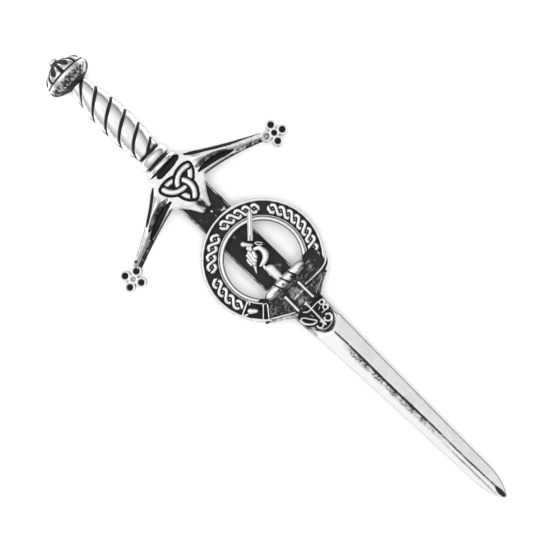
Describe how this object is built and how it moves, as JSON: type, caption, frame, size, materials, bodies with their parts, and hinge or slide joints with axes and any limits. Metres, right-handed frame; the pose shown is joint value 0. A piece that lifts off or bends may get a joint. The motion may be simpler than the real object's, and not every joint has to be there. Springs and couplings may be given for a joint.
{
  "type": "kilt pin",
  "caption": "Antiqued pewter kilt pin in the shape of a sword, with a strap-and-buckle ring round a hand that holds a dagger, and a brooch fitting on its back.",
  "frame": {"origin": "middle of the pin's outline, on the surface that its hinge and catch rest on", "axes": "+X runs along the sword from the pommel to the blade's tip, +Y across it along the guard, +Z out of the pin's front"},
  "size_m": [0.1, 0.0364, 0.0097],
  "materials": {
    "pewter": "cast pewter, polished on what stands out and blackened in its recesses",
    "blackened_pewter": "cast pewter with a blackened ground and polished raised lines",
    "pin_steel": "nickel-plated steel, satin"
  },
  "bodies": {
    "root": {"pommel": "pewter", "grip": "pewter", "collar": "pewter", "guard": "pewter", "blade": "pewter", "strap_ring": "blackened_pewter", "buckle": "pewter", "wreath": "pewter", "crest": "pewter", "strap_end": "blackened_pewter", "brooch_pin": "pin_steel"}
  },
  "joints": []
}
